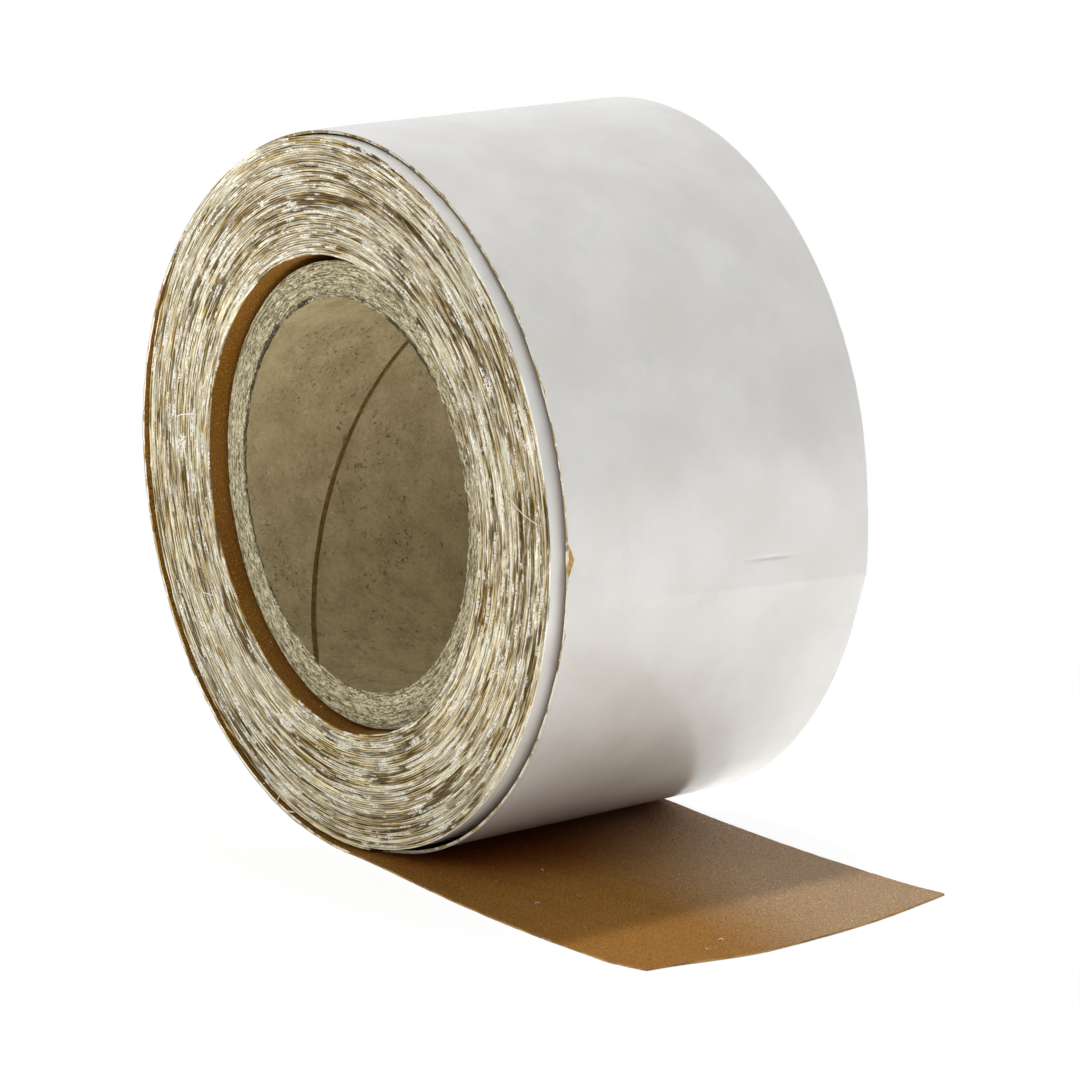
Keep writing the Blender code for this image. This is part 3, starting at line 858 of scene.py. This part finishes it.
def core_ring(name, node, inner, outer, rough, steps, materials=CORE_MATERIALS):
    """A plain tube of board with torn ends; `steps` points through its thickness."""
    around = 720
    middle = 0.5 * (CORE_FRONT + CORE_BACK)
    inset = np.array([0.0, 0.5, 1.1, 2.0])                # close together at the ends
    stations = np.concatenate([CORE_FRONT + inset, [middle - 18, middle + 18],
                               (CORE_BACK - inset)[::-1]])
    angle, y, radius = np.meshgrid(np.arange(around) / around * 2 * math.pi, stations,
                                   np.linspace(inner, outer, steps), indexing="ij")
    on_rim = (radius <= inner + NEAR_ZERO) | (radius >= outer - NEAR_ZERO)
    inwards = 0.12 + np.where(on_rim, 0.16, 0.0)
    y = y + np.where(y <= CORE_FRONT + NEAR_ZERO, inwards - board_relief(radius, angle, 0, rough),
                     np.where(y >= CORE_BACK - NEAR_ZERO,
                              board_relief(radius, angle, 1, rough) - inwards, 0.0))
    points = round_axis(radius, angle, y, CORE_DX, CORE_DZ)
    ob = lattice(name, points, materials, (0, 0, 1, 1, 0, 0), wrap=True)
    attach(ob, "core", node)


def core_lining(name, node, inner, outer):
    """The bore's lining: a helical strip whose edges leave an open joint."""
    lead = SEAM_LEAD / (2 * math.pi)                      # advance in a radian
    half_gap = (SEAM_GAP / 2 * math.hypot(1.0, lead / ((inner + outer) / 2))
                / SEAM_LEAD * 2 * math.pi)
    around = 540
    inset = np.array([0, 0.35, 0.8, 1.6])
    stations = np.concatenate([inset, np.linspace(3, WIDTH - 3, 44), (WIDTH - inset)[::-1]])
    sweep = half_gap + (2 * math.pi - 2 * half_gap) * np.linspace(0.0, 1.0, around)
    sweep, along, radius = np.meshgrid(sweep, stations, np.linspace(inner, outer, 4),
                                       indexing="ij")
    angle = math.radians(SEAM_DEG) - along / lead + sweep

    from_joint = np.minimum(sweep - half_gap, 2 * math.pi - half_gap - sweep) * inner
    far_edge = (sweep > math.pi) * 900                    # other noise on the joint's far edge
    ragged = (0.10 * noise_line(along * 1.7 + far_edge, 231)
              + 0.05 * noise_line(along * 5.1 + far_edge, 232))
    angle = angle + np.where(from_joint < 0.05, ragged, 0.0) / inner

    bore = (0.05 * noise_plane(angle * 9, along / 5, 233)
            + 0.03 * noise_plane(angle * 30, along / 1.5, 234))
    in_bore = radius <= inner + NEAR_ZERO
    swell = np.where(in_bore, bore, 0.0) - 0.10 * np.exp(-from_joint / 1.6) * in_bore

    def torn(seed):
        return (0.10 + 0.30 * np.maximum(0, noise_line(angle * 22, seed))
                + 0.12 * noise_line(angle * 75, seed + 1))

    y = (CORE_FRONT + along + np.where(along < NEAR_ZERO, torn(235), 0.0)
         - np.where(along > WIDTH - NEAR_ZERO, torn(237), 0.0))
    points = round_axis(radius + swell, angle, y, CORE_DX, CORE_DZ)
    ob = lattice(name, points, [BOARD, BOARD_END, SEAM], (2, 2, 1, 1, 0, 0))
    attach(ob, "core", node)


inner = BORE_RADIUS
for i, thickness in enumerate(PLY_THICKNESS):
    outer = inner + thickness
    if i == 0:
        core_lining("core_bore_lining", "core_inner_ply", inner, outer)
    elif i == len(PLY_THICKNESS) - 1:
        core_ring("core_outer_wrap", "core_outer_ply", inner, outer, rough=0.14, steps=3)
    else:
        core_ring("core_wall_%d" % i, "core_wall_ply_%d" % i, inner, outer, rough=0.24, steps=9,
                  materials=[SEAM, BOARD_END] if i == 1 else CORE_MATERIALS)
    inner += thickness + PLY_GAP


# ---------------------------------------------------------------------------------------------
# the strip outside the pack: its slit edges, layers and materials
# ---------------------------------------------------------------------------------------------
def edge_offset(along):
    """How far the strip's front edge stands behind the pack's front face; `along` is the
    distance past the table contact, negative on the slack turn."""
    along = np.asarray(along, float)
    back = smooth((-along - 120.0) / 115.0)
    soft = 6.0 * np.log1p(np.exp(np.minimum(along, 600.0) / 6.0))
    run = np.where(along > -300.0, soft, 0.0)
    return 4.0 * back - 1.0 - 0.2223 * run + 0.000815 * run * run


def edge_wear(along, layer, at_back):
    """Small wander of a layer's slit edge along the strip, positive inwards."""
    shift = layer.seed + (50 if at_back else 0)
    wander = (0.06 * noise_line(along / 9.0 + 500, 301)
              + 0.055 * noise_line(along / 2.1 + 500, 302 + shift)
              + 0.04 * noise_line(along / 0.8 + 900, 303 + shift))
    return wander + layer.setback


def strip_edges(along, layer):
    """y of the layer's front and back slit edges."""
    front = FRONT + edge_offset(along) + edge_wear(along, layer, False)
    back = FRONT + edge_offset(along) + WIDTH - edge_wear(along, layer, True)
    return front, back


def strip_grid(stations, middle):
    """Stations along the strip by shares of its width, close at both edges, by depth 0 and 1."""
    edge = np.array([0.0, 0.25, 0.6, 1.1, 1.8, 2.8, 4.2]) / WIDTH
    inside = np.linspace(6.0 / WIDTH, 1 - 6.0 / WIDTH, middle)
    across = np.concatenate([edge, inside, 1 - edge[::-1]])
    return np.meshgrid(stations, across, np.linspace(0, 1, 2), indexing="ij")


def strip_lattice(name, points, kind, stock):
    """A layer's mesh: w0 is the side towards the liner's bare face."""
    if kind == "liner":
        return lattice(name, points, [LINER, STOCK], (0, 0, 0, 0, 0, 0))
    if kind == "adhesive":
        return lattice(name, points, [GLUE], (0, 0, 0, 0, 0, 0))
    return lattice(name, points, [GRIT, stock], (1, 1, 1, 1, 1, 0))


# ---------------------------------------------------------------------------------------------
# the slack turn
# ---------------------------------------------------------------------------------------------
# chips in the liner's front edge: centre and half width in degrees, depth, power of the shape
LINER_NICKS = (
    (-4.2, 2.6, 1.5, 0.8), (33.0, 0.8, 0.35, 1), (21.0, 0.6, 0.4, 1), (-16.0, 0.9, 0.5, 1),
    (58.0, 0.9, 0.3, 1), (214.0, 0.7, 0.4, 1), (171.0, 0.5, 0.3, 1),
)


def liner_nick(deg):
    return sum(depth * np.maximum(0, 1 - np.abs((deg - centre) / half)) ** power
               for centre, half, depth, power in LINER_NICKS)


def turn_radius(deg, y):
    """Outer face of the slack turn: a slow spiral with the set and creases paper keeps."""
    growth = AXIS_Z - SLACK_RADIUS
    radius = SLACK_RADIUS + growth * (deg - START_DEG) / (CONTACT_DEG - START_DEG)
    fade = fall(deg, end=266.0, over=25.0) * rise(deg, start=START_DEG, over=12.0)
    relief = (0.07 * noise_plane(deg / 34.0 + 20, y / 42.0 + 20, 311)
              + 0.03 * noise_plane(deg / 11.0 + 20, y / 16.0 + 20, 312))
    # a crease across the width on the right, with the paper flatter below it
    below = -12.2 - (y + 15.0) * 0.05 - deg
    flat = 0.14 * np.sin(np.pi * np.clip((below - 9.0) / 34.0, 0, 1))
    ridge = 0.95 * np.where(below < 0, np.clip(1 + below / 15.0, 0, 1) ** 2,
                            np.clip(1 - below / 10.0, 0, 1) ** 2)
    relief = relief + (ridge - flat) * rise(y, start=-26.0, over=30.0)
    # a short pinch mark above it
    from_pinch = deg + 9.3 + (y - 14.0) * 0.055 + 0.10 * np.sin(y * 1.1)
    relief = relief - (0.26 * np.exp(-(from_pinch / 0.24) ** 2)
                       * rise(y, start=9.0, over=2.0) * fall(y, end=20.0, over=2.0))
    # a dent in the front edge
    relief = relief - 0.45 * np.exp(-((deg + 4.0) / 1.9) ** 2) * decay(y + 32.6, reach=1.6)
    # low on the right the front edge stands off the pack, over the top it lies closer
    lifted = (0.75 * decay(y - FRONT, reach=4.5) * rise(deg, start=-84.0, over=22.0)
              * fall(deg, end=38.0, over=50.0))
    pressed = (0.50 * decay(y - FRONT, reach=5.0) * rise(deg, start=26.0, over=34.0)
               * fall(deg, end=152.0, over=36.0))
    return radius + (relief + lifted - pressed) * fade


def slack_turn(kind):
    layer = LAYERS[kind]
    coarse = 0.65              # degrees; finer over the crease
    stations = np.concatenate([
        np.arange(START_DEG, -22.0, coarse), np.arange(-22.0, 1.0, 0.2),
        np.linspace(1.0, CONTACT_DEG, int(269 / coarse))])
    deg, across, depth = strip_grid(stations, middle=30)
    front, back = strip_edges(-np.radians(CONTACT_DEG - deg) * AXIS_Z, layer)
    if kind == "liner":
        front = front + liner_nick(deg)
    elif kind == "adhesive":
        front = front + 0.25 * liner_nick(deg)
    y = front + (back - front) * across
    radius = turn_radius(deg, y) - (layer.near + (layer.far - layer.near) * depth)
    # the front lips of liner and sheet part, most on the left
    lip = decay(y - front, reach=0.45)
    left = rise(deg, start=95.0, over=50.0) * fall(deg, end=262.0, over=8.0)
    fray = 0.5 + 0.5 * noise_line(deg * 1.9 + 300, 341)
    if kind == "liner":
        curl_out = 0.22 * left * (0.6 + 0.4 * noise_line(deg / 3.0 + 90, 342))
        radius = radius + lip * (0.04 + 0.05 * fray + curl_out)
    elif kind == "sheet":
        radius = radius - lip * depth * (0.05 + 0.05 * fray + 0.10 * left)
        radius = radius + lip * (1 - depth) * 0.02
    points = round_axis(radius, np.radians(deg), y)
    points[-1, :, :, 0] = 0.0                             # meets the tail exactly at x = 0
    ob = strip_lattice("slack_turn_" + kind, points, kind, STOCK)
    attach(ob, "outer_turn", "outer_turn_" + kind)


for kind in LAYERS:
    slack_turn(kind)


# ---------------------------------------------------------------------------------------------
# the tail
# ---------------------------------------------------------------------------------------------
TAIL_END = 114.0                                          # sets the last piece's step count
TAIL_STEP = 0.5
CUTS = (0.0, 19.8, 39.6, 59.45, 79.3)                     # x where one piece meets the next
HINGES = (9.9, 29.7, 49.5, 69.4)


def tail_end_x(across):
    """The cut end isn't quite square: it bows out in the middle."""
    return 112.4 + 13.8 * across - 17.2 * across * across


def tail_lift(x, across):
    """Height of the tail's underside over the table."""
    front = (0.95 * np.clip((x - 100.0) / 12.4, 0.0, 1.2) ** 1.15
             * fall(across, end=0.36, over=0.36))
    back = 0.35 * rise(x, start=98.0, over=18.0) * rise(across, start=0.66, over=0.34)
    ripple = (0.05 * (1 + noise_plane(x / 17.0 + 40, across * 3.1 + 4, 321))
              * rise(x, start=6.0, over=14.0))
    return front + back + ripple


def tail_piece(name, kind, start, end=None):
    """A length of one layer from x = start to end, or to the cut end where end is None."""
    layer = LAYERS[kind]
    length = (TAIL_END if end is None else end) - start
    share, across, depth = strip_grid(np.linspace(0.0, 1.0, int(length / TAIL_STEP) + 1),
                                      middle=26)
    if end is None:
        cut = (tail_end_x(across) + 0.06 * noise_line(across * 40, 331)
               + 0.03 * noise_line(across * 130, 332) - layer.end_setback)
        length = cut - start
    x = start + length * share
    front, back = strip_edges(x, layer)
    y = front + (back - front) * across
    z = tail_lift(x, across) + layer.near + (layer.far - layer.near) * depth
    return strip_lattice(name, np.stack([x, y, z], -1), kind, STOCK_TAIL)


def blend_along_x(ob):
    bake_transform(ob)


for kind, layer in LAYERS.items():
    for i, hinge in enumerate(HINGES):
        ob = tail_piece("tail_%s_fold_%d" % (kind, i + 1), kind, CUTS[i], CUTS[i + 1])
        blend_along_x(ob)
        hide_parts("tail_%s_%d" % (kind, i + 1))
    if kind == "liner":
        ob = tail_piece("tail_liner_end", kind, CUTS[-1])
        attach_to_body(ob, "tail_4")
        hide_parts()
    else:
        # sheet and adhesive end in tip pieces of their own
        ob = tail_piece("tail_%s_tip" % kind, kind, CUTS[-1])
        blend_along_x(ob)
        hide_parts("tip_" + kind)


# ---------------------------------------------------------------------------------------------
# stray fibres
# ---------------------------------------------------------------------------------------------
def fibres(name, strokes, body):
    """Thin closed threads. Each stroke is a list of points with a half thickness."""
    all_points, quads = [], []
    count = 0
    for points, thick in strokes:
        points = np.asarray(points, float)
        tangent = np.gradient(points, axis=0)
        tangent /= np.linalg.norm(tangent, axis=1)[:, None] + 1e-12
        side = np.cross(tangent, np.array([0.0, 1.0, 0.0]))
        along_y = np.linalg.norm(side, axis=1) < 1e-3
        side[along_y] = np.cross(tangent[along_y], np.array([1.0, 0, 0]))
        side /= np.linalg.norm(side, axis=1)[:, None]
        up = np.cross(side, tangent)
        taper = thick * np.interp(np.linspace(0, 1, len(points)), [0, 0.12, 0.8, 1.0],
                                  [0.7, 1.0, 0.8, 0.25])
        # a flattened diamond section
        rings = np.stack([points + side * (taper * wide * 1.6)[:, None]
                          + up * (taper * high * 0.6)[:, None]
                          for wide, high in ((0, 1), (1, 0), (0, -1), (-1, 0))], 1)
        ids = count + np.arange(len(points) * 4).reshape(-1, 4)
        turned = np.roll(ids, -1, axis=1)
        walls = np.stack([ids[:-1], turned[:-1], turned[1:], ids[1:]], -1).reshape(-1, 4)
        all_points.append(rings.reshape(-1, 3))
        quads += [walls, ids[0][::-1][None], ids[-1][None]]
        count += ids.size
    quads = np.concatenate(quads)
    plain = np.zeros(len(quads))
    ob = make_mesh(name, np.concatenate(all_points), quads, [LINT], plain, plain)
    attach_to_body(ob, body)


# threads clear of the front face: body, (x, height over the axis, stand-off)s, half thickness
LONG_THREADS = (
    ("band_05", ((-57.0, 10.5, 0.5), (-54.2, 11.2, 0.8), (-51.1, 11.6, 0.9),
                 (-48.4, 11.6, 0.7)), 0.075),
    ("band_06", ((56.6, 5.8, 0.5), (57.9, 5.5, 0.8), (59.3, 4.9, 1.0), (62.0, 3.2, 1.1),
                 (65.1, 1.9, 0.8), (66.6, 1.4, 0.6)), 0.065),
    ("band_05", ((-51.0, -24.6, 0.5), (-48.8, -24.6, 0.8), (-46.9, -24.8, 0.6)), 0.085),
    ("band_08", ((-59.5, -24.8, 0.4), (-58.2, -26.3, 0.6), (-56.8, -28.0, 0.6)), 0.070),
    ("outer_turn", ((-29.0, -64.9, 0.6), (-27.7, -64.0, 0.9), (-25.7, -62.0, 1.0)), 0.070),
    ("outer_turn", ((-26.8, -65.2, 0.5), (-23.9, -65.2, 0.9), (-21.0, -65.0, 0.9)), 0.090),
    ("band_07", ((-7.8, -59.6, 0.5), (-6.8, -60.6, 0.7), (-5.2, -61.8, 0.7)), 0.075),
    ("band_07", ((-9.3, -60.8, 0.5), (-6.6, -61.6, 0.8), (-2.4, -61.9, 0.7)), 0.070),
    ("roll", ((-29.4, 61.4, 0.4), (-26.3, 62.5, 0.6), (-23.7, 63.1, 0.5)), 0.060),
    ("band_09", ((-9.2, 66.0, 0.4), (-6.8, 65.7, 0.6), (-4.5, 64.8, 0.5)), 0.060),
)
LINT_PER_END = 34
LINT_SEED = 700


def band_lint(index):
    """Short random fibres over both end faces of a band, kept within its turns."""
    rng = np.random.default_rng(LINT_SEED + index)
    inner = band_radius(index)
    depth = TURNS_PER_BAND * PITCH
    t = np.linspace(0, 1, 7)
    strokes = []
    for end in (0, 1):
        for _ in range(LINT_PER_END):
            angle = rng.uniform(0, 2 * math.pi)
            radius = inner + rng.uniform(0.2, depth - 0.4)
            length = rng.uniform(0.8, 3.2) * (1.8 if rng.uniform() < 0.12 else 1.0)
            lean = rng.uniform(-0.35, 0.35)
            direction = 1 if rng.uniform() < 0.5 else -1
            lift = 0.12 + rng.uniform(0.05, 0.55) * np.sin(t * rng.uniform(1.2, 3.0))
            radii = radius + length * lean * t + rng.uniform(-0.3, 0.3) * np.sin(t * 3.0)
            radii = np.clip(radii, inner + 0.52, inner + depth - 0.10)
            angles = angle + direction * length * t / radius
            y = FRONT - 0.02 - lift if end == 0 else BACK + 0.02 + lift
            strokes.append((round_axis(radii, angles, y), rng.uniform(0.020, 0.045)))
    return strokes


def long_threads(body):
    """The table's threads on one body, resampled and smoothed."""
    strokes = []
    for owner, stations, thick in LONG_THREADS:
        if owner != body:
            continue
        stations = np.array(stations, float)
        t = np.linspace(0, len(stations) - 1, 4 * len(stations))
        path = np.stack([np.interp(t, np.arange(len(stations)), stations[:, i])
                         for i in range(3)], -1)
        path[1:-1] = (path[:-2] + 2 * path[1:-1] + path[2:]) / 4
        x, height, stand_off = path.T
        strokes.append((np.stack([x, FRONT - stand_off, AXIS_Z + height], -1), thick))
    return strokes


def curl(x, y, size, phase, lift):
    """A tiny curled fibre lying on the tail."""
    t = np.linspace(0, 1, 9)
    angle = phase + 4.2 * t
    z = lift + LAMINATE + 0.05 + 0.25 * np.sin(t * 3.0)
    return np.stack([x + size * np.cos(angle), y + size * np.sin(angle), z], -1), 0.07


# object, body, and for each curl: x, y, size, phase, lift of the tail's underside
TAIL_LINT = (
    ("lint_tail_2", "tail_2", ((39.5, 24.0, 0.45, 0.4, 0.08), (39.8, -20.0, 0.35, 2.0, 0.08))),
    ("lint_tail_3", "tail_3", ((59.4, -35.5, 0.40, 1.1, 0.08), (59.6, 6.0, 0.3, 3.1, 0.08))),
    ("lint_tip", "sheet_tip", ((104.5, -28.5, 0.5, 0.0, 0.12), (108.0, -34.0, 0.45, 2.6, 0.25))),
)

for band in range(BANDS):
    body = band_body(band)
    fibres("lint_%02d" % (band + 1), band_lint(band) + long_threads(body), body)
fibres("lint_outer_turn", long_threads("outer_turn"), "outer_turn")
for name, body, curls in TAIL_LINT:
    fibres(name, [curl(*values) for values in curls], body)


# ---------------------------------------------------------------------------------------------
# stage, light and camera, in metres
# ---------------------------------------------------------------------------------------------
def add_floor(half=4, points=9, z=-0.0002):
    mesh = bpy.data.meshes.new("floor")
    steps = np.linspace(-half, half, points)
    faces = [(j * points + i, j * points + i + 1, (j + 1) * points + i + 1, (j + 1) * points + i)
             for j in range(points - 1) for i in range(points - 1)]
    mesh.from_pydata([(x, y, z) for y in steps for x in steps], [], faces)
    mesh.materials.append(backdrop_material())
    link("floor", mesh)


def add_world(side=0.27, top=0.42, back=0.60):
    """White to the camera; as light, dimmer at the sides, brighter overhead and behind."""
    world = bpy.data.worlds.new("studio")
    bpy.context.scene.world = world
    world.use_nodes = True
    nodes = NodeTree(world.node_tree)
    output = nodes.node("ShaderNodeOutputWorld")
    direction = Value(nodes, nodes.node("ShaderNodeTexCoord").outputs["Generated"])
    x, y, z = nodes.split(direction)
    away = nodes.math("POWER", nodes.most(x * -0.81 + y * 0.58, 0.0), 2.5)
    overhead = nodes.math("POWER", nodes.most(z, 0.0), 1.3)
    power = overhead.scaled(top - side, plus=side) + away * back
    white = (1, 1, 1, 1)
    light = nodes.fill(nodes.node("ShaderNodeBackground"), white, power)
    seen = nodes.fill(nodes.node("ShaderNodeBackground"), white, 1.0)
    is_camera = Value(nodes, nodes.node("ShaderNodeLightPath").outputs["Is Camera Ray"])
    blend = nodes.fill(nodes.node("ShaderNodeMixShader"), is_camera, light, seen)
    nodes.put(output.inputs[0], blend)


def pose(right, up, back, place):
    """World matrix of an object that looks along -back."""
    rows = [[right[i], up[i], back[i], place[i]] for i in range(3)]
    return Matrix(rows + [[0, 0, 0, 1]])


def area_light(name, place, aim, size, power):
    light = bpy.data.lights.new(name, "AREA")
    light.shape = "RECTANGLE"
    light.size = light.size_y = size
    light.energy = power
    back = np.array(place, float) - np.array(aim, float)
    back /= np.linalg.norm(back)
    right = np.cross((0, 0, 1.0), back)
    right /= np.linalg.norm(right)
    link(name, light).matrix_world = pose(right, np.cross(back, right), back, place)


def add_camera():
    data = bpy.data.cameras.new("view")
    camera = link("view", data)
    camera.matrix_world = pose(
        right=(0.58604, 0.80859, -0.05236), up=(-0.10744, 0.14159, 0.98408),
        back=(0.80313, -0.57108, 0.16985), place=(0.70792, -0.49173, 0.2044))
    data.lens = 149.26
    data.sensor_width = 36.0
    data.clip_start, data.clip_end = 0.05, 20.0
    bpy.context.scene.camera = camera


add_floor()
add_world()
area_light("key", place=(-0.15, -1.10, 0.75), aim=(0.0, 0.0, 0.06), size=0.9, power=4.6)
area_light("top", place=(-0.24, 0.28, 1.58), aim=(0.0, 0.0, 0.05), size=0.15, power=11.0)
area_light("right", place=(1.15, -0.05, 0.20), aim=(0.02, 0.0, 0.03), size=0.5, power=0.42)
add_camera()
bpy.context.scene.view_settings.view_transform = "Standard"
